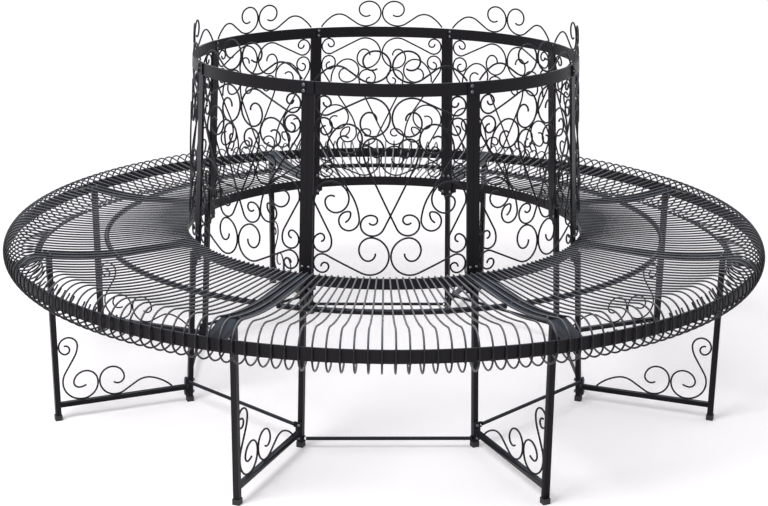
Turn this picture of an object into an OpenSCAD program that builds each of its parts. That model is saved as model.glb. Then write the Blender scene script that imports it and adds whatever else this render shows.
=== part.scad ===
// Round garden bench of welded steel, made to stand round a tree.
// Eight seat sections and eight back panels are bolted together where they meet,
// over eight pairs of legs. Millimetres, +Z up, origin on the ground at the centre.

/* [Seat] */
// Radius of the rim band's outer face
rim_r = 990; // [975:1:1005]
// Radius of the back posts' outer face where they pass the seat
back_r = 524; // [510:1:540]
// Height of the seat wires' centre line at their inner ends
seat_h = 434; // [415:1:455]
// Fall of the seat wires from their inner ends outwards, in degrees
seat_fall = 2; // [0.5:0.5:3]
// Radius at which the seat wires start to curve upwards
dip_start_r = 700; // [660:1:740]
// Diameter of the seat wires
wire_d = 4.5; // [3.5:0.25:5]
// Wires in one seat section
wire_count = 27; // [21:2:29]
// Distance of a section's last wire from the joint, at the rim
edge_wire = 4.6; // [4:0.1:7]
// Radius of the rolled edge, to the wires' centre line
curl_r = 51; // [46:0.5:56]
// Height of the rolled edge's centre
curl_h = 413; // [408:0.5:418]
// Turn of the rolled edge, in degrees
curl_turn = 260; // [220:1:280]
// Radius of the round rod under the middle of the seat
mid_rod_r = 735; // [715:1:780]
// Diameter of that rod
mid_rod_d = 13; // [10:0.5:16]
// Thickness of the flat bands round the seat and the back
band_t = 5; // [4:0.25:6]
// Height of the inner band
inner_band_h = 26; // [20:1:32]
// Height of the rim band
rim_band_h = 30; // [24:1:34]
// Height of the rim band's top edge above the ground
rim_band_top = 421; // [416:1:426]
// Width of each radial bar
bar_w = 25; // [20:1:30]
// Thickness of each radial bar
bar_t = 5; // [4:0.25:6]
// Radius at which the radial bars end
bar_end_r = 908; // [902:1:920]
// Thickness of the strap from a bar's end to the rim band
strap_t = 4; // [3:0.25:5]
// Height of the strap's top where it meets the rim band
strap_end_h = 418; // [412:1:420]

/* [Back] */
// Inward lean of the back and the inner legs, in degrees
lean = 2.9; // [0.5:0.1:4.5]
// Height of the top band's upper edge
back_h = 888; // [860:1:915]
// Height of the top band itself
top_band_h = 30; // [24:1:36]
// Width of a back post
post_w = 16; // [13:0.5:18]
// Thickness of a back post
post_t = 6; // [5:0.5:8]
// Length of the posts below the seat's inner band
post_tail = 21; // [18:1:30]
// Thickness of the lap plate across a joint in the top band
lap_t = 3; // [2:0.25:4]

/* [Scrollwork] */
// Diameter of the scroll wires
scroll_d = 4.5; // [3.5:0.25:5]
// Height of the lowest scroll wire above the seat wires
panel_lift = 4; // [3:0.5:8]
// Height of the scrolls on top of the back
crown_h = 73; // [60:1:85]
// Width of the scrolls in a leg frame
leg_scroll_w = 288; // [260:1:292]
// Height of the scrolls in a leg frame
leg_scroll_h = 167; // [140:1:190]

/* [Legs] */
// Radius of the outer legs' centre line
leg_r = 898; // [892:0.5:900]
// Width of the outer legs, which are square
leg_w = 14; // [12:0.5:16]
// Width of the inner legs, which are square
inner_leg_w = 13; // [11:0.5:14]
// Thickness of the plate under the radial bars
head_plate_t = 3; // [2:0.25:4]
// Length of that plate along the seat's edge
head_plate_w = 40; // [36:1:48]
// Height of the stretcher's underside
stretcher_z = 34; // [30:1:40]
// Width and height of the stretcher
stretcher_w = 12; // [10:0.5:14]
// Width of the stretcher's end plate
end_plate_w = 18; // [16:0.5:20]
// Thickness of the stretcher's end plate
end_plate_t = 4; // [3:0.25:5]
// Width of the corner plate at the top of an inner leg
corner_w = 57; // [50:1:64]
// Height of the corner plate
corner_h = 36; // [32:1:44]
// Thickness of the corner plate
corner_t = 3; // [2.5:0.25:4]
// Wall of the foot caps
cap_wall = 1.5; // [1:0.25:2.5]
// Height of the foot caps
cap_h = 14; // [10:1:20]

/* [Ring rods and bolts] */
// Diameter of the rods that tie the inner legs together
ring_rod_d = 9; // [7:0.5:10]
// Thickness of a ring rod's flattened end
tab_t = 3; // [2.5:0.25:4]
// Width of a ring rod's flattened end
tab_w = 14; // [12:0.5:16]
// Height of the lower bolts at the feet
low_bolt_z = 26; // [24:0.5:28]
// Height of the upper bolts at the feet
high_bolt_z = 58; // [55:0.5:60]
// Diameter of the bolts
bolt_d = 5; // [4:0.5:6]
// Diameter of the bolt heads
head_d = 9.5; // [8:0.5:10]
// Height of the bolt heads
head_h = 3; // [2:0.25:4]
// Width of the nuts across their flats
nut_w = 8; // [7:0.5:8]
// Height of the nuts
nut_h = 4; // [3:0.25:5]
// Distance of the bolts in the corner plate from the joint
corner_bolt_y = 11.5; // [11.5:0.1:12]
// Height of the bolts above the seat
seat_bolt_z = 447; // [445:1:455]
// Distance between the two bolts of a top joint
lap_bolt_pitch = 14; // [12:1:16]

/* [Fits] */
// Gap between two neighbouring sections
joint_gap = 0.5; // [0.3:0.1:1]
// Gap between a welded or seated piece and what carries it
seat_gap = 0.2; // [0.1:0.05:0.3]
// Clearance of a bolt in its hole, on the diameter
hole_fit = 0.5; // [0.3:0.1:1]

/* [Hidden] */
sections = 8;
arc = 360 / sections;
ids = [1 : sections];
function numbered(name) = [for (i = ids) str(name, "_", i)];

coat = [0.13, 0.13, 0.15];
steel = [0.55, 0.56, 0.58];
rubber = [0.08, 0.08, 0.08];

// Smallest step that keeps two surfaces of one welded piece from lying in one plane
step_back = 0.35;
// Overlap of two welded parts of one piece, and how far a cut runs past its surface
weld = 1;
cut_over = 1;
round_fn = 16;
bore_fn = 32;
// A bent wire's steps stop this short of each other, and a thinner core joins them.
// Wires bent round the back need more, since their steps don't lie in one plane.
flat_trim = 0.03;
cone_trim = 0.15;
core_share = 0.95;
core_sink = 0.35;

// Angle and vector helpers
function dir(a) = [cos(a), sin(a)];
function unit(v) = v / norm(v);
function arc_fn(r) = max(24, ceil(360 / (2 * acos(1 - 0.05 / r))));

wire_r = wire_d / 2;
scroll_r = scroll_d / 2;
hole_d = bolt_d + hole_fit;

// Inner and rim bands
band_in_r = back_r + 2 * seat_gap;
band_out_r = band_in_r + band_t;
wire_in_r = band_in_r + weld;
inner_band_top = seat_h - wire_r - seat_gap - band_t * tan(seat_fall);
inner_band_bottom = inner_band_top - inner_band_h;
rim_in_r = rim_r - band_t;

// Side view of a seat wire: a straight run, a shallow dip, then the rolled edge round the rim band,
// which clears the band at its top or bottom edge, whichever lies further from the roll's centre
rim_half = max(rim_band_top - curl_h, curl_h - rim_band_top + rim_band_h);
run_end = [dip_start_r, seat_h - (dip_start_r - wire_in_r) * tan(seat_fall)];
run_up = [sin(seat_fall), cos(seat_fall)];
curl_c = [rim_r - sqrt(pow(curl_r - wire_r - seat_gap, 2) - rim_half * rim_half), curl_h];
to_run = run_end - curl_c;
dip_r = (to_run * to_run - curl_r * curl_r) / (2 * (curl_r - to_run * run_up));
dip_c = run_end + dip_r * run_up;
dip_end = curl_c + (dip_c - curl_c) * curl_r / (dip_r + curl_r);
curl_from = atan2(dip_end.y - curl_c.y, dip_end.x - curl_c.x);
wire_pitch = (arc - 2 * asin(edge_wire / rim_r)) / (wire_count - 1);

// Depths below the wires' centre line of the bars and of the plate under them
chord_room = 0.15;
bar_top_d = wire_r + seat_gap + chord_room;
bar_low_d = bar_top_d + bar_t;
plate_top_d = bar_low_d + seat_gap;
plate_low_d = plate_top_d + head_plate_t;

// The last wires stop short of the outer leg
leg_in_r = leg_r - leg_w / 2;
leg_out_r = leg_r + leg_w / 2;
leg_room = 2.5;
short_turn = curl_from + acos(max(-1, (leg_out_r + wire_r + leg_room - curl_c.x) / curl_r));

// Leaning frame of the back: X is outwards from the posts' outer face, Z runs up along the lean
function lean_z(x, z) = (z - inner_band_bottom - x * sin(lean)) / cos(lean);
function lean_r(x, z) = back_r + x * cos(lean) - lean_z(x, z) * sin(lean);
top_band_low = back_h - top_band_h;
band_x = 0.5;
lap_x = band_x + seat_gap;
post_side = joint_gap / 2 + post_w;
plate_sink = 0.4;
inner_leg_x = corner_t + seat_gap - plate_sink;
leg_face_x = inner_leg_x + inner_leg_w;
tab_x = leg_face_x + seat_gap;
end_plate_x = tab_x + tab_t + seat_gap;
end_plate_out = end_plate_x + end_plate_t;
rod_room = 2;
tab_reach = end_plate_w / 2 + ring_rod_d / 2 + rod_room;
cap_floor = 3;
lap_edge = 1;
lug_edge = 3;
post_rise = 2;
strap_lap = 3;
strap_sink = 0.35;
head_plate_reach = 7;
corner_edge = 8;
corner_bolt_drop = 3.5;
thread_out = 1;

// The scrolls are drawn on a flat sheet of these sizes, and stretched to the opening between two posts
sheet_w = 183.5;
sheet_h = 417.5;
crown_sheet_h = 72.9;
leg_sheet_w = 288.3;
leg_sheet_h = 167.1;
panel_x = -2.5;
// The upper heart stands this much further from the middle, where the cone is narrower
upper_shift = 0.36;
panel_low = seat_h + panel_lift;
panel_high = top_band_low - scroll_r - seat_gap;

// A scroll starts at a point with a heading, and each step is [radius, turn in degrees].
// Left turns are positive, and a step of radius 0 is a straight run of that length.
heart = [[34.22, 52.31], -94.41, [
    [17.4, 137.8], [29.8, 153.8], [45.3, 187.5], [0, 92.4], [22.5, -188], [17.2, -90.9], [9.4, -201.4]
]];
crossing = [[-49.56, 125.58], -53.48, [
    [10.9, 213.4], [24, 161], [29.4, 103], [0, 163.6], [105.1, 21.9], [24.7, 196.5], [17.5, 71.2], [9.8, 193.2]
]];
long_scroll = [[106.23, 124.11], 152.69, [
    [23.8, -63.7], [4.7, -86.5], [22.8, -193.2], [26.7, -84.8], [131.2, -28.2], [0, 148.1],
    [40.9, 55.1], [20.4, 230.7], [10.5, 204.5]
]];
post_scroll = [[164.08, 74.83], 172.66, [
    [9.4, -191.4], [22.4, -242.9], [44.5, -37], [0, 78.6], [12.3, 19.3],
    [43.3, 160.2], [34.8, 104.8], [25.4, 99.5], [15.7, 126.2]
]];
hook_scroll = [[100.52, 322.2], 48.57, [[15.4, -100.9], [21.1, -106.9], [34.6, -227.9], [63.5, -67.5]]];
crown_scroll = [[34.53, 31.78], -37.91, [
    [20.8, 175.5], [34.7, 186.2], [51.5, 69.4], [0, 36.4], [44.5, -64.3], [116.6, -21.5]
]];
leg_s = [[-13.05, 145.47], 164.31, [
    [11.2, 225.4], [20.8, 50.9], [23.6, 194.4], [63.5, 26.3], [0, 47.3],
    [48.4, -121.5], [40.5, -102.8], [30.9, -152.4], [15, -108.2], [36.5, -26.3]
]];
leg_c = [[-136.19, 33.51], 222.63, [
    [16.2, -138.7], [31.5, -157.1], [41.1, -138.1], [0, 39.1], [50.2, 47.7], [120.4, 29.2]
]];

// Start, middle and end of each step of a scroll
function step_end(p, h, s) = s[0] == 0 ? p + s[1] * dir(h) : let (
    g = sign(s[1]),
    c = p + g * s[0] * dir(h + 90)
) c - g * s[0] * dir(h + s[1] + 90);
function half(s) = [s[0], s[1] / 2];
function steps(p, h, list, i = 0) = i == len(list) ? [] : let (
    s = list[i],
    q = step_end(p, h, s)
) concat([[p, step_end(p, h, half(s)), q]], steps(q, s[0] == 0 ? h : h + s[1], list, i + 1));
function drawn(scroll) = steps(scroll[0], scroll[1], scroll[2]);

// A point of the sheet on the leaning cone of the back, x outwards from the posts' outer face
function on_cone(x, u, z) = let (
    r = lean_r(x, z),
    a = u / sheet_w * (arc / 2 - asin((post_side + seat_gap + scroll_r) / r))
) [r * sin(a), -r * cos(a), z];
function panel_z(v) = panel_low + v * (panel_high - panel_low) / sheet_h;
function crown_z(v) = back_h + seat_gap + scroll_r + v * crown_h / crown_sheet_h;
function in_panel(path, x, side, flip) = [
    for (s = path) [
        for (p = s) flip
            ? on_cone(x, side * (p.x + upper_shift), panel_z(sheet_h - p.y))
            : on_cone(x, side * p.x, panel_z(p.y))
    ]
];
function in_crown(path, side) = [for (s = path) [for (p = s) on_cone(panel_x, side * p.x, crown_z(p.y))]];
function in_leg(path) = [
    for (s = path) [
        for (p = s) [
            leg_in_r - seat_gap - scroll_r + p.x * leg_scroll_w / leg_sheet_w,
            0,
            stretcher_z + stretcher_w + seat_gap + scroll_r + p.y * leg_scroll_h / leg_sheet_h
        ]
    ]
];

// Straight round rod between two points
module rod(a, b, r) {
    d = b - a;
    translate(a)
        rotate([0, acos(d.z / norm(d)), atan2(d.y, d.x)])
            cylinder(h = norm(d), r = r, $fn = round_fn);
}

// Centre of the arc through the start, middle and end of a step, and the direction at its start
function centre(s) = let (
    ab = s[1] - s[0],
    ac = s[2] - s[0],
    n = cross(ab, ac)
) s[0] + ((ac * ac) * cross(n, ab) + (ab * ab) * cross(ac, n)) / (2 * (n * n));
function is_straight(s) = norm(cross(s[1] - s[0], s[2] - s[1])) < 0.01;
function heading(s) = is_straight(s)
    ? unit(s[2] - s[0])
    : unit(cross(cross(s[1] - s[0], s[2] - s[0]), s[0] - centre(s)));

// Round rod bent to a step's arc, cut short by trim at each end
module bend(s, r, trim) {
    c = centre(s);
    big = norm(s[0] - c);
    x = (s[0] - c) / big;
    y = heading(s);
    z = cross(x, y);
    sweep = atan2((s[2] - c) * y, (s[2] - c) * x);
    full = sweep < 0 ? sweep + 360 : sweep;
    from = trim[0] / big * 180 / PI;
    to = full - trim[1] / big * 180 / PI;
    multmatrix([
        [x.x, y.x, z.x, c.x],
        [x.y, y.y, z.y, c.y],
        [x.z, y.z, z.z, c.z],
        [0, 0, 0, 1]
    ])
        rotate([0, 0, from])
            rotate_extrude(angle = to - from, $fn = arc_fn(big))
                translate([big, 0])
                    circle(r = r, $fn = round_fn);
}

// Wire bent along a path of steps, with a short core where two steps meet
module bent_wire(path, r, clear) {
    core = clear + core_sink;
    for (i = [0 : len(path) - 1]) {
        s = path[i];
        first = i == 0 ? 0 : clear;
        last = i == len(path) - 1 ? 0 : clear;
        ahead = heading(s);
        if (is_straight(s))
            rod(s[0] + first * ahead, s[2] - last * ahead, r);
        else
            bend(s, r, [first, last]);
        if (i > 0)
            rod(s[0] - core * ahead, s[0] + core * ahead, core_share * r);
    }
}

// Turns what is drawn along X to the bearing a, counted from the front
module ray(a) {
    rotate([0, 0, a - 90])
        children();
}

module section(i) {
    rotate([0, 0, (i - 1) * arc])
        children();
}

// The joint at the end of a section, on side -1 or 1
module joint(side) {
    ray(side * arc / 2)
        children();
}

module leaning() {
    translate([back_r, 0, inner_band_bottom])
        rotate([0, -lean, 0])
            children();
}

// Plate across the radius, drawn in the plane of Y and Z
module across(x, t) {
    translate([x, 0, 0])
        rotate([90, 0, 90])
            linear_extrude(t)
                children();
}

// Plate along the radius, drawn in the plane of X and Z, between y and y + w
module along(y, w) {
    translate([0, y + w, 0])
        rotate([90, 0, 0])
            linear_extrude(w)
                children();
}

module bolt_hole(x, t) {
    translate([x - cut_over, 0, 0])
        rotate([0, 90, 0])
            cylinder(h = t + 2 * cut_over, d = hole_d, $fn = bore_fn);
}

// Flat band on edge over one section, leaning like the back if turned
module band(r, z, h, tilt) {
    cut = asin((joint_gap / 2 + step_back) / r);
    shift = h * tan(tilt);
    ray(-arc / 2 + cut)
        rotate_extrude(angle = arc - 2 * cut, $fn = arc_fn(r))
            polygon([[r - band_t, z], [r, z], [r - shift, z + h], [r - band_t - shift, z + h]]);
}

// Side view of the seat wires' line, d below it
function dip_angle(r) = -acos((r - dip_c.x) / dip_r);
function below(r, d) = r <= dip_start_r
    ? [r, seat_h - (r - wire_in_r) * tan(seat_fall)] - d * run_up
    : dip_c + (dip_r + d) * dir(dip_angle(r));
dip_steps = 14;
function bar_line(d, from) = concat(
    [below(from, d)],
    [for (k = [0 : dip_steps]) below(dip_start_r + 0.001 + k / dip_steps * (bar_end_r - dip_start_r), d)]
);
function reversed(v) = [for (k = [len(v) - 1 : -1 : 0]) v[k]];

module bar_side() {
    inner = band_out_r - weld;
    polygon(concat(bar_line(bar_top_d, inner), reversed(bar_line(bar_low_d, inner))));
}

module strap_side() {
    high = below(bar_end_r - strap_lap, bar_low_d - strap_sink - strap_t);
    low = below(bar_end_r - strap_lap, bar_low_d - strap_sink);
    polygon([high, [rim_in_r + weld, strap_end_h], [rim_in_r + weld, strap_end_h - strap_t], low]);
}

module seat_bolt_frame(y) {
    translate([dip_c.x, y, dip_c.y])
        rotate([0, -dip_angle(leg_r), 0])
            children();
}

seat_bolt_y = joint_gap / 2 + bar_w / 2;

// Inner band, rim band and the two radial bars with their straps, welded
module seat_frame(i) {
    section(i) {
        band(band_out_r, inner_band_bottom, inner_band_h, 0);
        band(rim_r, rim_band_top - rim_band_h, rim_band_h, 0);
        for (side = [-1, 1])
            joint(side)
                difference() {
                    along(side > 0 ? -joint_gap / 2 - bar_w : joint_gap / 2, bar_w) {
                        bar_side();
                        strap_side();
                    }
                    seat_bolt_frame(-side * seat_bolt_y)
                        bolt_hole(dip_r + bar_top_d, bar_t);
                }
    }
}

// A seat wire's path, with its rolled edge turned by the given angle
function wire_path(turn) = let (
    start = below(wire_in_r, 0),
    dip_mid = dip_c + dip_r * unit((run_end - dip_c) + (dip_end - dip_c)),
    side = [
        [start, (start + run_end) / 2, run_end],
        [run_end, dip_mid, dip_end],
        [dip_end, curl_c + curl_r * dir(curl_from - turn / 2), curl_c + curl_r * dir(curl_from - turn)]
    ]
) [for (s = side) [for (p = s) [p.x, 0, p.y]]];

module seat_wires(i) {
    last = (wire_count - 1) / 2;
    mid_z = below(mid_rod_r, 0).y - wire_r - chord_room - mid_rod_d / 2;
    rod_end = arc / 2 - asin((joint_gap / 2 + bar_w + 2 * seat_gap + step_back) / mid_rod_r);
    section(i) {
        for (k = [-last : last]) {
            a = k * wire_pitch;
            beside_leg = leg_r * sin(arc / 2 - abs(a)) < leg_w / 2 + wire_r + leg_room;
            ray(a)
                bent_wire(wire_path(beside_leg ? min(curl_turn, short_turn) : curl_turn), wire_r, flat_trim);
        }
        translate([0, 0, mid_z])
            ray(-rod_end)
                rotate_extrude(angle = 2 * rod_end, $fn = arc_fn(mid_rod_r))
                    translate([mid_rod_r, 0])
                        circle(d = mid_rod_d, $fn = round_fn);
    }
}

lap_bolt_y = joint_gap / 2 + post_w / 2;
function lap_bolt_z(k) = back_h - top_band_h / 2 + k * lap_bolt_pitch / 2;
corner_bolt_z = inner_band_bottom - head_d / 2 - corner_bolt_drop;

// Two posts and a length of the top band, with the lap plate that reaches over the neighbour's end
module back_frame(i) {
    low = lean_z(0, inner_band_bottom - post_tail);
    high = lean_z(0, top_band_low) + post_rise;
    section(i) {
        difference() {
            band(lean_r(0, top_band_low) + band_x, top_band_low, top_band_h, lean);
            joint(1)
                leaning()
                    for (k = [-1, 1])
                        translate([0, -lap_bolt_y, lean_z(0, lap_bolt_z(k))])
                            bolt_hole(-band_t - cut_over, band_t + 2 * cut_over);
        }
        for (side = [-1, 1])
            joint(side)
                leaning()
                    difference() {
                        translate([-post_t, side > 0 ? -post_side : joint_gap / 2, low])
                            cube([post_t, post_w, high - low]);
                        translate([0, -side * corner_bolt_y, lean_z(0, corner_bolt_z)])
                            bolt_hole(-post_t, post_t);
                        translate([0, -side * lap_bolt_y, lean_z(0, seat_bolt_z)])
                            bolt_hole(-post_t, post_t);
                    }
        joint(-1)
            leaning() {
                across(lap_x, lap_t)
                    difference() {
                        translate([-post_side, lean_z(0, top_band_low) + lap_edge])
                            square([2 * post_side, top_band_h - 2 * lap_edge]);
                        for (k = [-1, 1])
                            translate([-lap_bolt_y, lean_z(0, lap_bolt_z(k))])
                                circle(d = hole_d, $fn = bore_fn);
                    }
                translate([-weld, joint_gap + weld, lean_z(0, top_band_low) + lug_edge])
                    cube([lap_x + 2 * weld, post_w - 3 * weld, top_band_h - 2 * lug_edge]);
            }
    }
}

// The scrolls in one opening of the back and the pair that crowns it.
// The two crossing scrolls pass one behind the other.
module back_scroll(i) {
    section(i)
        for (side = [-1, 1]) {
            for (flip = [false, true])
                bent_wire(in_panel(drawn(heart), panel_x, side, flip), scroll_r, cone_trim);
            for (s = [long_scroll, post_scroll, hook_scroll])
                bent_wire(in_panel(drawn(s), panel_x, side, false), scroll_r, cone_trim);
            cross_x = panel_x + side * (scroll_r + seat_gap / 2);
            bent_wire(in_panel(drawn(crossing), cross_x, side, false), scroll_r, cone_trim);
            bent_wire(in_crown(drawn(crown_scroll), side), scroll_r, cone_trim);
        }
}

leg_foot = cap_floor + seat_gap;
function foot_bolt_z(z) = lean_z(tab_x + tab_t / 2, z);

// Outer leg with its head plate, and the stretcher with its end plate
module leg_frame(i) {
    head_weld_d = plate_top_d + head_plate_t / 2;
    reach = head_plate_reach;
    stretcher_in = lean_r(end_plate_out, stretcher_z) - weld;
    section(i)
        joint(1) {
            along(-leg_w / 2, leg_w)
                polygon([
                    [leg_in_r, leg_foot], [leg_out_r, leg_foot],
                    below(leg_out_r, head_weld_d), below(leg_in_r, head_weld_d)
                ]);
            difference() {
                along(-head_plate_w / 2, head_plate_w)
                    polygon([
                        below(leg_r - reach, plate_top_d), below(leg_r - reach, plate_low_d),
                        below(leg_r, plate_low_d), below(leg_r + reach, plate_low_d),
                        below(leg_r + reach, plate_top_d), below(leg_r, plate_top_d)
                    ]);
                for (side = [-1, 1])
                    seat_bolt_frame(side * seat_bolt_y)
                        bolt_hole(dip_r + plate_top_d, head_plate_t);
            }
            translate([stretcher_in, -stretcher_w / 2, stretcher_z])
                cube([leg_in_r + weld - stretcher_in, stretcher_w, stretcher_w]);
            leaning()
                across(end_plate_x, end_plate_t)
                    end_plate();
        }
}

module end_plate() {
    low = foot_bolt_z(low_bolt_z);
    high = foot_bolt_z(high_bolt_z);
    difference() {
        union() {
            translate([-end_plate_w / 2, low])
                square([end_plate_w, high - low]);
            for (z = [low, high])
                translate([0, z])
                    circle(d = end_plate_w, $fn = bore_fn);
        }
        for (z = [low, high])
            translate([0, z])
                circle(d = hole_d, $fn = bore_fn);
    }
}

module leg_scroll(i) {
    section(i)
        joint(1)
            for (s = [leg_s, leg_c])
                bent_wire(in_leg(drawn(s)), scroll_r, flat_trim);
}

// Leaning inner leg, with the corner plate that the posts are bolted to
module inner_leg(i) {
    top = -seat_gap - (band_out_r - back_r) * tan(lean);
    bottom = lean_z(inner_leg_x, leg_foot);
    notch_r = corner_h - corner_edge;
    section(i)
        joint(1)
            leaning() {
                difference() {
                    translate([inner_leg_x, -inner_leg_w / 2, bottom])
                        cube([inner_leg_w, inner_leg_w, top - bottom]);
                    for (z = [low_bolt_z, high_bolt_z])
                        translate([0, 0, foot_bolt_z(z)])
                            bolt_hole(inner_leg_x, inner_leg_w);
                }
                across(seat_gap, corner_t)
                    difference() {
                        translate([-corner_w / 2, top - corner_h])
                            square([corner_w, corner_h]);
                        for (side = [-1, 1]) {
                            translate([side * (inner_leg_w / 2 + notch_r), top - corner_h - cut_over])
                                circle(r = notch_r, $fn = 96);
                            translate([side * corner_bolt_y, lean_z(0, corner_bolt_z)])
                                circle(d = hole_d, $fn = bore_fn);
                        }
                    }
            }
}

// Straight rods from leg to leg, with flattened ends under the stretchers' end plates
module ring_rods() {
    half_arc = arc / 2;
    for (i = ids) {
        z = i % 2 == 1 ? low_bolt_z : high_bolt_z;
        r = lean_r(tab_x + tab_t / 2, z);
        out = r * cos(half_arc) + tab_reach * sin(half_arc);
        span = r * sin(half_arc) - tab_reach * cos(half_arc);
        section(i) {
            ray(0)
                translate([out, span, z])
                    rotate([90, 0, 0])
                        cylinder(h = 2 * span, d = ring_rod_d, $fn = bore_fn);
            for (side = [-1, 1])
                joint(side) {
                    translate([r, -side * tab_reach, z])
                        sphere(d = 1.03 * ring_rod_d, $fn = bore_fn);
                    leaning()
                        across(tab_x, tab_t)
                            translate([0, foot_bolt_z(z)])
                                difference() {
                                    union() {
                                        circle(d = tab_w, $fn = bore_fn);
                                        translate([side > 0 ? -tab_reach : 0, -tab_w / 2])
                                            square([tab_reach, tab_w]);
                                    }
                                    circle(d = hole_d, $fn = bore_fn);
                                }
                }
        }
    }
}

// Bolt along X with its domed head at the start and its nut past the grip
module bolt(grip) {
    tip = grip + nut_h + thread_out;
    rotate([0, 90, 0]) {
        rotate_extrude($fn = bore_fn)
            polygon([
                [0, -head_h], [head_d * 0.25, -head_h * 0.85], [head_d * 0.42, -head_h * 0.4], [head_d / 2, 0],
                [bolt_d / 2, 0], [bolt_d / 2, tip], [0, tip]
            ]);
        translate([0, 0, grip])
            cylinder(h = nut_h, d = nut_w / cos(30), $fn = 6);
    }
}

// Distance of a bolt's head and nut from what they clamp
rub = seat_gap / 2;

// Two bolts through the posts over the seat and two through the top joint
module upper_bolts() {
    lap_in = band_x - band_t - seat_gap - step_back;
    for (i = ids)
        section(i)
            joint(1)
                leaning()
                    for (side = [-1, 1]) {
                        translate([rub, side * lap_bolt_y, lean_z(0, seat_bolt_z)])
                            mirror([1, 0, 0])
                                bolt(post_t + 2 * rub);
                        translate([lap_in, -lap_bolt_y, lean_z(0, lap_bolt_z(side))])
                            bolt(lap_x + lap_t + rub - lap_in);
                    }
}

// Bolts through the head plate, the corner plate and the feet
module foot_bolts() {
    for (i = ids)
        section(i)
            joint(1) {
                for (side = [-1, 1])
                    seat_bolt_frame(side * seat_bolt_y)
                        translate([dip_r + bar_top_d - rub, 0, 0])
                            bolt(plate_low_d - bar_top_d + 2 * rub);
                leaning() {
                    for (side = [-1, 1])
                        translate([-post_t - rub, side * corner_bolt_y, lean_z(0, corner_bolt_z)])
                            bolt(post_t + seat_gap + corner_t + 2 * rub);
                    for (z = [low_bolt_z, high_bolt_z])
                        translate([end_plate_out + rub, 0, foot_bolt_z(z)])
                            mirror([1, 0, 0])
                                bolt(end_plate_out - inner_leg_x + 2 * rub);
                }
            }
}

// Moulded caps on the feet of the outer and inner legs
module foot_caps() {
    outer_w = leg_w + 2 * (seat_gap + cap_wall);
    inner_w = inner_leg_w + 2 * (seat_gap + cap_wall) + cap_h * tan(lean);
    foot_r = lean_r(inner_leg_x + inner_leg_w / 2, cap_h / 2);
    pocket = inner_leg_w + 2 * seat_gap;
    for (i = ids)
        section(i)
            joint(1) {
                difference() {
                    translate([leg_r - outer_w / 2, -outer_w / 2, 0])
                        cube([outer_w, outer_w, cap_h]);
                    translate([leg_r - leg_w / 2 - seat_gap, -leg_w / 2 - seat_gap, cap_floor])
                        cube([leg_w + 2 * seat_gap, leg_w + 2 * seat_gap, cap_h]);
                }
                difference() {
                    translate([foot_r - inner_w / 2, -inner_w / 2, 0])
                        cube([inner_w, inner_w, cap_h]);
                    intersection() {
                        leaning()
                            translate([inner_leg_x - seat_gap, -pocket / 2, lean_z(0, -cap_h)])
                                cube([pocket, pocket, 3 * cap_h]);
                        translate([foot_r - inner_w, -inner_w, cap_floor])
                            cube([2 * inner_w, 2 * inner_w, cap_h]);
                    }
                }
            }
}

for (i = ids) {
    color(coat) back_frame(i);
    color(coat) back_scroll(i);
    color(coat) seat_frame(i);
    color(coat) seat_wires(i);
    color(coat) leg_frame(i);
    color(coat) leg_scroll(i);
    color(coat) inner_leg(i);
}
color(coat) ring_rods();
color(steel) upper_bolts();
color(steel) foot_bolts();
color(rubber) foot_caps();
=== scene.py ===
import math

import bmesh
import bpy
from mathutils import Matrix, Vector


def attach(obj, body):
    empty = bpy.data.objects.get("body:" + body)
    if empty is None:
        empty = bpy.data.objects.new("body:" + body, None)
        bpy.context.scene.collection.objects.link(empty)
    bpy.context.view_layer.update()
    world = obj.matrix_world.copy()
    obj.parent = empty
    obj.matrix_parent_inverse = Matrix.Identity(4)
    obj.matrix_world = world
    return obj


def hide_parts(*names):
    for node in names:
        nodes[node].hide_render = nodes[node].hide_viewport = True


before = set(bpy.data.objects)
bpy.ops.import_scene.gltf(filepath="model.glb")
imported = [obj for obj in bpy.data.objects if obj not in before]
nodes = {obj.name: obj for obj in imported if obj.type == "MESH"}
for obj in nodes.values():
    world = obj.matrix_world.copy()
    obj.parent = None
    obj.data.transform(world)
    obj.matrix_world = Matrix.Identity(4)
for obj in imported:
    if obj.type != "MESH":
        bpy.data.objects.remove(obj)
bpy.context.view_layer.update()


# Camera.
# It stands in front of the bench at 1.46 m and looks down on it, as in the photograph. The bench is turned
# slightly against it, so the camera goes round the bench by that angle instead.
photo_width = 768
focal_pixels = 1482.8
sensor_width = 36
camera_distance = 3.855
camera_height = 1.458
camera_bearing = math.radians(-1.56)
camera_pitch = math.radians(16.14)
camera_roll = math.radians(0.56)

lens = bpy.data.cameras.new("photo_camera")
lens.sensor_width = sensor_width
lens.lens = sensor_width * focal_pixels / photo_width
camera = bpy.data.objects.new("photo_camera", lens)
bpy.context.scene.collection.objects.link(camera)
camera.matrix_world = (
    Matrix.Rotation(camera_bearing, 4, "Z")
    @ Matrix.Translation((0, -camera_distance, camera_height))
    @ Matrix.Rotation(math.pi / 2 - camera_pitch, 4, "X")
    @ Matrix.Rotation(camera_roll, 4, "Z")
)
bpy.context.scene.camera = camera
bpy.context.scene.view_settings.view_transform = "Standard"


# Powder-coated steel of the bands, posts, bars, legs and scrolls.
# A satin black polyester powder, baked on over the welded frame. It has the fine orange peel of sprayed
# powder. Its upward faces are painted lighter and bluer in random patches, partly dust and partly a painted
# sheen of the light from above, and the same patches dull its gloss a little.
def linear(hex_colour):
    """Turns an sRGB hex colour to the linear values that sockets hold."""
    values = [int(hex_colour[i:i + 2], 16) / 255 for i in (1, 3, 5)]
    return [v / 12.92 if v <= 0.04045 else ((v + 0.055) / 1.055) ** 2.4 for v in values] + [1]


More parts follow.
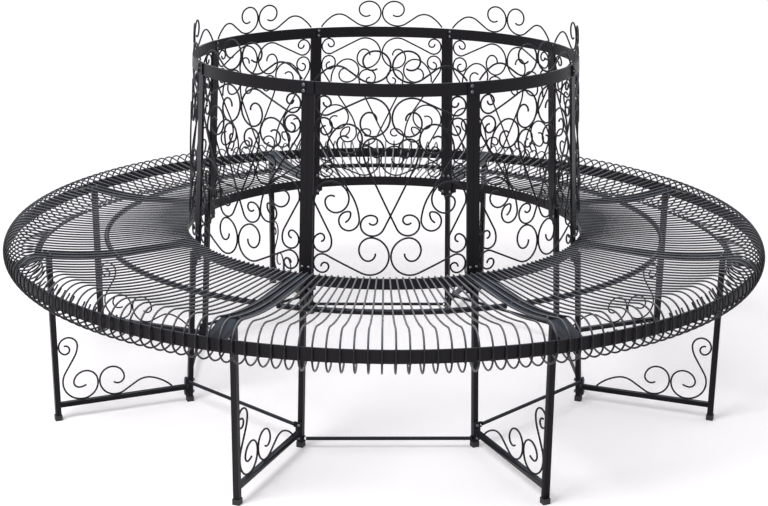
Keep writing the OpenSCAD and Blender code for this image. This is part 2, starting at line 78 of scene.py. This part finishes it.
def add(tree, kind, settings=(), *in_order, **by_name):
    """Adds a node, sets its properties, and sets or links its inputs, in their order or by name.

    An input takes a value, a socket or a node, which stands for its first output. One that joins
    several links takes a list.
    """
    node = tree.nodes.new(kind)
    for name, value in dict(settings).items():
        setattr(node, name, value)
    inputs = [*zip(node.inputs, in_order)]
    inputs += [(node.inputs[name.replace("_", " ")], value) for name, value in by_name.items()]
    for socket, value in inputs:
        for source in value if socket.is_multi_input else [value]:
            if isinstance(source, bpy.types.Node):
                source = source.outputs[0]
            if isinstance(source, bpy.types.NodeSocket):
                tree.links.new(source, socket)
            else:
                socket.default_value = source
    return node


mm = 0.001
orange_peel_size = 1.4 * mm
orange_peel_depth = 0.02 * mm
dust_and_sheen_patch_size = 90 * mm
dust_and_sheen_upward_start = 0.2
coat_black = linear("#131115")
coat_dust_and_sheen = linear("#454c57")
coat_roughness = 0.34, 0.46
coat_specular = 0.14
coat_ior = 1.5

powder_coat = bpy.data.materials.new("satin_powder_coat")
powder_coat.use_nodes = True
tree = powder_coat.node_tree
place = add(tree, "ShaderNodeTexCoord").outputs["Object"]
peel = add(tree, "ShaderNodeTexNoise", Vector=place, Scale=1 / orange_peel_size, Detail=2.0)
relief = add(tree, "ShaderNodeBump", Height=peel, Distance=orange_peel_depth, Strength=1.0)
patches = add(tree, "ShaderNodeTexNoise", Vector=place, Scale=1 / dust_and_sheen_patch_size, Detail=5.0)
# Painted sheen: faces that point upward get a lighter, bluer colour in patches, for the light from above,
# partly dust.
facing = add(tree, "ShaderNodeSeparateXYZ", Vector=add(tree, "ShaderNodeNewGeometry").outputs["Normal"])
upward = add(tree, "ShaderNodeMapRange", Value=facing.outputs["Z"], From_Min=dust_and_sheen_upward_start)
dust_and_sheen_mask = add(tree, "ShaderNodeMath", {"operation": "MULTIPLY"}, upward, patches)
blend = add(tree, "ShaderNodeMix", {"data_type": "RGBA"}, Factor=dust_and_sheen_mask, A=coat_black, B=coat_dust_and_sheen)
gloss = add(tree, "ShaderNodeMapRange", Value=patches, To_Min=coat_roughness[0], To_Max=coat_roughness[1])
shader = tree.nodes["Principled BSDF"]
tree.links.new(blend.outputs["Result"], shader.inputs["Base Color"])
tree.links.new(gloss.outputs["Result"], shader.inputs["Roughness"])
tree.links.new(relief.outputs["Normal"], shader.inputs["Normal"])
shader.inputs["IOR"].default_value = coat_ior
shader.inputs["Specular IOR Level"].default_value = coat_specular

for node in nodes.values():
    node.data.materials.clear()
    node.data.materials.append(powder_coat)


# Seat wires.
# Each section's seat is a row of round steel wires, welded across the inner band and a round rod. Past the
# rod they rise, roll over the rim band and are welded under it; the two next to outer legs end sooner, to
# clear them. The coat flows smoother round thin wire than on flats, so the wires catch more light, and their
# upward faces are painted much lighter still, a painted highlight in patches.
sections = 8
section_angle = math.tau / sections
wires_in_row = 27
wire_d = 4.5 * mm
wire_start = Vector((525.4, 434)) * mm
wire_fall = math.radians(2)
rise_start_r = 700 * mm
rim_r = 990 * mm
rim_band_low, rim_band_high = 391 * mm, 421 * mm
roll_r = 47.6 * mm
roll_height = 405 * mm
roll_turn = math.radians(260)
rise_steps, roll_steps = 12, 36
weld_gap = 0.2 * mm
leg_side_r = 908 * mm
leg_room = 2.5 * mm
first_wire_from_joint = 13.6 * mm
under_rod_r = 735 * mm
under_rod_d = 13 * mm
under_rod_room = 0.15 * mm
under_rod_steps = 49
rod_from_joint = 26 * mm
inner_bead_in = 1.6 * mm
rim_bead_off = 0.4 * mm
wire_sides, under_rod_sides = 8, 16
wire_painted_highlight = linear("#8f939c")
wire_roughness = 0.22, 0.32
wire_specular = 0.24
wire_sharp_edge = math.radians(60)

# The roll's centre lies where the wires pass just outside the rim band's edges. The rise is an arc that
# runs on smoothly from the straight part and into the roll.
half_band = max(rim_band_high - roll_height, roll_height - rim_band_low)
roll_centre = Vector((rim_r - math.sqrt((roll_r - wire_d / 2 - weld_gap) ** 2 - half_band**2), roll_height))
rise_start = Vector((rise_start_r, wire_start.y - (rise_start_r - wire_start.x) * math.tan(wire_fall)))
run_up = Vector((math.sin(wire_fall), math.cos(wire_fall)))
to_run = rise_start - roll_centre
rise_r = (to_run.length_squared - roll_r**2) / (2 * (roll_r - to_run.dot(run_up)))
rise_centre = rise_start + rise_r * run_up
rise_end = roll_centre + (rise_centre - roll_centre) * roll_r / (rise_r + roll_r)


def bearing(centre, point):
    """Direction from a centre to a point of the side view, as an angle."""
    return math.atan2(point.y - centre.y, point.x - centre.x)


def on_arc(centre, first, turn, steps):
    """Points of an arc that starts at a point and turns about a centre, without the first."""
    reach, start = (first - centre).length, bearing(centre, first)
    angles = [start + turn * (k + 1) / steps for k in range(steps)]
    return [centre + reach * Vector((math.cos(a), math.sin(a))) for a in angles]


def wire_line_height(r):
    """Height of the wires' middle on the rise, at a distance from the bench's axis."""
    return rise_centre.y - math.sqrt(rise_r**2 - (r - rise_centre.x) ** 2)


rise_turn = bearing(rise_centre, rise_end) - bearing(rise_centre, rise_start)
side_view = [wire_start, rise_start]
side_view += on_arc(rise_centre, rise_start, rise_turn, rise_steps)
side_view += on_arc(roll_centre, rise_end, -roll_turn, roll_steps)
clear_of_leg = (leg_side_r + wire_d / 2 + leg_room - roll_centre.x) / roll_r
short_roll = bearing(roll_centre, rise_end) + math.acos(max(-1, clear_of_leg))
wire_length = sum((b - a).length for a, b in zip(side_view, side_view[1:]))
under_rod_z = wire_line_height(under_rod_r) - wire_d / 2 - under_rod_room - under_rod_d / 2

wire_coat = powder_coat.copy()
wire_coat.name = "satin_powder_coat_on_wire"
copied = wire_coat.node_tree.nodes
copied["Principled BSDF"].inputs["Specular IOR Level"].default_value = wire_specular
copied[gloss.name].inputs["To Min"].default_value = wire_roughness[0]
copied[gloss.name].inputs["To Max"].default_value = wire_roughness[1]
# The wires' upward faces take a far lighter grey in patches: a painted highlight.
copied[blend.name].inputs["B"].default_value = wire_painted_highlight

sizes_of_a_row = {
    "Wires": ("Int", wires_in_row),
    "Wire Diameter": ("Float", wire_d),
    "Joint to Joint": ("Float", section_angle),
    "First Wire": ("Float", math.asin(first_wire_from_joint / rim_r)),
    "Short Wire Share": ("Float", 1 - (roll_turn - short_roll) * roll_r / wire_length),
    "Rod Radius": ("Float", under_rod_r),
    "Rod Height": ("Float", under_rod_z),
    "Rod Diameter": ("Float", under_rod_d),
    "Rod Half Angle": ("Float", section_angle / 2 - math.asin(rod_from_joint / under_rod_r)),
    "Section Turn": ("Float", 0.0),
    "Wire Finish": ("Material", wire_coat),
    "Rod Finish": ("Material", powder_coat),
}
wire_row = bpy.data.node_groups.new("wire_row", "GeometryNodeTree")
wire_row.interface.new_socket("Geometry", in_out="OUTPUT", socket_type="NodeSocketGeometry")
wire_row.interface.new_socket("Side View", in_out="INPUT", socket_type="NodeSocketGeometry")
for name, (kind, value) in sizes_of_a_row.items():
    wire_row.interface.new_socket(name, in_out="INPUT", socket_type="NodeSocket" + kind)
given = add(wire_row, "NodeGroupInput").outputs

# A wire in the row's middle plane, a shorter one, and the weld beads that both have: where each bead is,
# and half its length, width and height in millimetres.
full_line = add(wire_row, "GeometryNodeMeshToCurve", Mesh=given["Side View"])
short_line = add(wire_row, "GeometryNodeTrimCurve", Curve=full_line, End=given["Short Wire Share"])
wire_half = add(wire_row, "ShaderNodeMath", {"operation": "MULTIPLY"}, given["Wire Diameter"], 0.5)
wire_round = add(wire_row, "GeometryNodeCurvePrimitiveCircle", Resolution=wire_sides, Radius=wire_half)
beads = []
for centre, half_sizes in (
    ((wire_start.x + inner_bead_in, 0, wire_start.y - wire_d / 2), (2.6, 3.6, 1.5)),
    ((under_rod_r, 0, under_rod_z + under_rod_d / 2), (4.4, 4.2, 1.7)),
    ((rim_r + rim_bead_off, 0, rim_band_low + rim_bead_off), (1.7, 3.6, 2.8)),
):
    ball = add(wire_row, "GeometryNodeMeshUVSphere", Segments=8, Rings=4, Radius=mm)
    beads.append(add(wire_row, "GeometryNodeTransform", Geometry=ball, Translation=centre, Scale=half_sizes))

# The wires' angles run evenly from the first to the last. The first and the last lie by the legs.
places = add(wire_row, "GeometryNodePoints", Count=given["Wires"])
wire_number = add(wire_row, "GeometryNodeInputIndex")
last_number = add(wire_row, "ShaderNodeMath", {"operation": "SUBTRACT"}, given["Wires"], 1.0)
multiply_add = {"operation": "MULTIPLY_ADD"}
first_angle = add(wire_row, "ShaderNodeMath", multiply_add, given["Joint to Joint"], -0.5, given["First Wire"])
spread = add(wire_row, "ShaderNodeMath", {"operation": "MULTIPLY"}, first_angle, -2.0)
pitch = add(wire_row, "ShaderNodeMath", {"operation": "DIVIDE"}, spread, last_number)
wire_angle = add(wire_row, "ShaderNodeMath", multiply_add, wire_number, pitch, first_angle)
wire_euler = add(wire_row, "ShaderNodeCombineXYZ", Z=wire_angle)
wire_turn = add(wire_row, "FunctionNodeEulerToRotation", Euler=wire_euler)
off_middle = add(wire_row, "ShaderNodeMath", multiply_add, last_number, -0.5, wire_number)
from_middle = add(wire_row, "ShaderNodeMath", {"operation": "ABSOLUTE"}, off_middle)
leg_limit = add(wire_row, "ShaderNodeMath", multiply_add, last_number, 0.5, -0.5)
by_leg = add(wire_row, "ShaderNodeMath", {"operation": "GREATER_THAN"}, from_middle, leg_limit)
away_from_leg = add(wire_row, "ShaderNodeMath", {"operation": "SUBTRACT"}, 1.0, by_leg)

row = []
for line, chosen in ((full_line, away_from_leg), (short_line, by_leg)):
    wire = add(wire_row, "GeometryNodeCurveToMesh", Curve=line, Profile_Curve=wire_round, Fill_Caps=True)
    welded = add(wire_row, "GeometryNodeJoinGeometry", Geometry=[wire, *beads])
    row.append(add(
        wire_row, "GeometryNodeInstanceOnPoints",
        Points=places, Selection=chosen, Instance=welded, Rotation=wire_turn,
    ))

# The round rod under the wires. A mark on its faces gives it the flats' darker coat again at the end.
rod_from = add(wire_row, "ShaderNodeMath", {"operation": "MULTIPLY"}, given["Rod Half Angle"], -1.0)
rod_sweep = add(wire_row, "ShaderNodeMath", {"operation": "MULTIPLY"}, given["Rod Half Angle"], 2.0)
rod_line = add(
    wire_row, "GeometryNodeCurveArc",
    Resolution=under_rod_steps, Radius=given["Rod Radius"], Start_Angle=rod_from, Sweep_Angle=rod_sweep,
)
rod_half = add(wire_row, "ShaderNodeMath", {"operation": "MULTIPLY"}, given["Rod Diameter"], 0.5)
rod_round = add(wire_row, "GeometryNodeCurvePrimitiveCircle", Resolution=under_rod_sides, Radius=rod_half)
rod = add(wire_row, "GeometryNodeCurveToMesh", Curve=rod_line, Profile_Curve=rod_round, Fill_Caps=True)
marked = add(wire_row, "GeometryNodeCaptureAttribute", {"domain": "FACE"}, rod)
marked.capture_items.new("BOOLEAN", "Rod")
marked.inputs["Rod"].default_value = True
rod_place = add(wire_row, "ShaderNodeCombineXYZ", Z=given["Rod Height"])
row.append(add(wire_row, "GeometryNodeTransform", Geometry=marked, Translation=rod_place))

whole_row = add(wire_row, "GeometryNodeJoinGeometry", Geometry=row)
section_euler = add(wire_row, "ShaderNodeCombineXYZ", Z=given["Section Turn"])
section_turn = add(wire_row, "FunctionNodeEulerToRotation", Euler=section_euler)
turned = add(wire_row, "GeometryNodeTransform", Geometry=whole_row, Rotation=section_turn)
smooth = add(wire_row, "GeometryNodeSetShadeSmooth", Geometry=turned)
real = add(wire_row, "GeometryNodeRealizeInstances", Geometry=smooth)
coated = add(wire_row, "GeometryNodeSetMaterial", Geometry=real, Material=given["Wire Finish"])
finished = add(
    wire_row, "GeometryNodeSetMaterial",
    Geometry=coated, Selection=marked.outputs["Rod"], Material=given["Rod Finish"],
)
add(wire_row, "NodeGroupOutput", Geometry=finished)

corners = [(point.x, 0, point.y) for point in side_view]
for section in range(1, sections + 1):
    outline = bpy.data.meshes.new("side_view")
    outline.from_pydata(corners, [(k, k + 1) for k in range(len(corners) - 1)], [])
    seat_row = bpy.data.objects.new(f"wire_row_{section}", outline)
    growth = seat_row.modifiers.new("wire_row", "NODES")
    growth.node_group = wire_row
    for item in wire_row.interface.items_tree:
        if item.name == "Section Turn":
            growth[item.identifier] = (section - 1) * section_angle - math.pi / 2
        elif item.name in sizes_of_a_row:
            growth[item.identifier] = sizes_of_a_row[item.name][1]
    bpy.context.scene.collection.objects.link(seat_row)
    grown = seat_row.evaluated_get(bpy.context.evaluated_depsgraph_get())
    plain = bpy.data.meshes.new_from_object(grown)
    seat_row.modifiers.clear()
    seat_row.data = plain
    bpy.data.meshes.remove(outline)
    plain.set_sharp_from_angle(angle=wire_sharp_edge)
    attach(seat_row, "root")
    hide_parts(f"seat_wires_{section}")


# Radial bars and head plates.
# Flat steel bars carry the wires, and are bolted through to the plates on the outer legs. The photograph
# has their outer ends some millimetres lower than the solids do, so merged copies of the solids are bent
# down, from the arc that the solids follow to the arc of the wires above.
solid_rise_centre = Vector((722.83, 1081.53)) * mm
solid_rise_r = 653.98 * mm
bent_within_r = 940 * mm
bent_above = 400 * mm
merge_distance = 1e-6
flat_sharp_edge = math.radians(28)


def bent_down(corner):
    """Height of a corner once the bars lie close under the wires."""
    r = math.hypot(corner.x, corner.y)
    if corner.z < bent_above or not rise_start_r < r < bent_within_r:
        return corner.z
    solid_line_height = solid_rise_centre.y - math.sqrt(solid_rise_r**2 - (r - solid_rise_centre.x) ** 2)
    return corner.z - solid_line_height + wire_line_height(r)


def bent_copy(name, finish):
    """Puts a merged copy, bent down to the wires, in the place of a solid."""
    work = bmesh.new()
    work.from_mesh(nodes[name].data)
    bmesh.ops.remove_doubles(work, verts=work.verts, dist=merge_distance)
    for corner in work.verts:
        corner.co.z = bent_down(corner.co)
    shape = bpy.data.meshes.new(name + "_bent")
    work.to_mesh(shape)
    work.free()
    shape.shade_smooth()
    shape.set_sharp_from_angle(angle=flat_sharp_edge)
    shape.materials.append(finish)
    piece = bpy.data.objects.new(name + "_bent", shape)
    bpy.context.scene.collection.objects.link(piece)
    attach(piece, "root")
    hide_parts(name)


for kind in ("seat_frame", "leg_frame"):
    for section in range(1, sections + 1):
        bent_copy(f"{kind}_{section}", powder_coat)


# Bolts and nuts.
# Zinc-plated steel with domed heads, which hold the sections, the plates and the legs together. The zinc
# has dulled to a mottled grey, so they are only small dots on the black coat. Those in the radial bars come
# down with the bars.
zinc_mottle_size = 3 * mm
zinc_dark = linear("#54575e")
zinc_light = linear("#767a82")
zinc_roughness = 0.32

dull_zinc = bpy.data.materials.new("dull_zinc_plate")
dull_zinc.use_nodes = True
tree = dull_zinc.node_tree
place = add(tree, "ShaderNodeTexCoord").outputs["Object"]
mottle = add(tree, "ShaderNodeTexNoise", Vector=place, Scale=1 / zinc_mottle_size, Detail=3.0)
tint = add(tree, "ShaderNodeMix", {"data_type": "RGBA"}, Factor=mottle, A=zinc_dark, B=zinc_light)
shader = tree.nodes["Principled BSDF"]
tree.links.new(tint.outputs["Result"], shader.inputs["Base Color"])
shader.inputs["Metallic"].default_value = 1
shader.inputs["Roughness"].default_value = zinc_roughness

for name in ("upper_bolts", "foot_bolts"):
    bent_copy(name, dull_zinc)


# Foot caps.
# Moulded black polyethylene, pushed over the ends of the legs. It is matt with the fine grain of a
# spark-eroded mould, which is drawn coarser than the real one so that it shows.
cap_grain_size = 0.8 * mm
cap_grain_depth = 0.03 * mm
cap_dark = linear("#141414")
cap_light = linear("#1e1e1f")
cap_roughness = 0.62

cap_plastic = bpy.data.materials.new("moulded_polyethylene")
cap_plastic.use_nodes = True
tree = cap_plastic.node_tree
place = add(tree, "ShaderNodeTexCoord").outputs["Object"]
grain = add(tree, "ShaderNodeTexNoise", Vector=place, Scale=1 / cap_grain_size, Detail=1.0)
relief = add(tree, "ShaderNodeBump", Height=grain, Distance=cap_grain_depth, Strength=1.0)
tint = add(tree, "ShaderNodeMix", {"data_type": "RGBA"}, Factor=grain, A=cap_dark, B=cap_light)
shader = tree.nodes["Principled BSDF"]
tree.links.new(tint.outputs["Result"], shader.inputs["Base Color"])
tree.links.new(relief.outputs["Normal"], shader.inputs["Normal"])
shader.inputs["Roughness"].default_value = cap_roughness

nodes["foot_caps"].data.materials[0] = cap_plastic


# Studio.
# A white floor that runs on into a white background, with one large soft lamp over the front left and
# even light from all round. Floor and world are lifted to white only where they are seen, straight or by
# way of metal or glass, so that a faint shadow stays under the bench.
floor_reach = 14
floor_white = linear("#fbf8fb")
pure_white = linear("#ffffff")
floor_roughness = 0.9
lift_from, lift_to = 1.5, 7.0
lift_near, lift_far = 0.14, 0.35
even_light = 0.72
lamp_width = 2.4
lamp_power = 170
lamp_place = Vector((-2.2, -2.4, 4.2))
lamp_aim = Vector((0, 0, 0.4))


def seen_rays(tree):
    """Adds the nodes that give 1 where a surface is seen, and 0 where it only lights others."""
    path = add(tree, "ShaderNodeLightPath").outputs
    larger = {"operation": "MAXIMUM"}
    seen = add(tree, "ShaderNodeMath", larger, path["Is Camera Ray"], path["Is Glossy Ray"])
    return add(tree, "ShaderNodeMath", larger, seen, path["Is Transmission Ray"])


floor_mesh = bpy.data.meshes.new("floor")
floor_corners = [(x * floor_reach, y * floor_reach, 0) for x, y in ((-1, -1), (1, -1), (1, 1), (-1, 1))]
floor_mesh.from_pydata(floor_corners, [], [(0, 1, 2, 3)])
floor = bpy.data.objects.new("floor", floor_mesh)
bpy.context.scene.collection.objects.link(floor)
white_floor = bpy.data.materials.new("white_floor")
white_floor.use_nodes = True
tree = white_floor.node_tree
place = add(tree, "ShaderNodeTexCoord").outputs["Object"]
from_bench = add(tree, "ShaderNodeVectorMath", {"operation": "LENGTH"}, place).outputs["Value"]
lift = add(
    tree, "ShaderNodeMapRange",
    Value=from_bench, From_Min=lift_from, From_Max=lift_to, To_Min=lift_near, To_Max=lift_far,
)
lifted = add(tree, "ShaderNodeMath", {"operation": "MULTIPLY"}, lift, seen_rays(tree))
shader = tree.nodes["Principled BSDF"]
tree.links.new(lifted.outputs["Value"], shader.inputs["Emission Strength"])
shader.inputs["Base Color"].default_value = floor_white
shader.inputs["Roughness"].default_value = floor_roughness
shader.inputs["Specular IOR Level"].default_value = 0
shader.inputs["Emission Color"].default_value = pure_white
floor_mesh.materials.append(white_floor)

studio = bpy.data.worlds.new("studio")
bpy.context.scene.world = studio
studio.use_nodes = True
tree = studio.node_tree
strength = add(tree, "ShaderNodeMath", multiply_add, seen_rays(tree), 1 - even_light, even_light)
backdrop = tree.nodes["Background"]
tree.links.new(strength.outputs["Value"], backdrop.inputs["Strength"])
backdrop.inputs["Color"].default_value = pure_white

lamp_data = bpy.data.lights.new("soft_lamp", "AREA")
lamp_data.shape = "DISK"
lamp_data.size = lamp_width
lamp_data.energy = lamp_power
lamp = bpy.data.objects.new("soft_lamp", lamp_data)
bpy.context.scene.collection.objects.link(lamp)
lamp.location = lamp_place
lamp.rotation_euler = (lamp_aim - lamp_place).to_track_quat("-Z", "Y").to_euler()
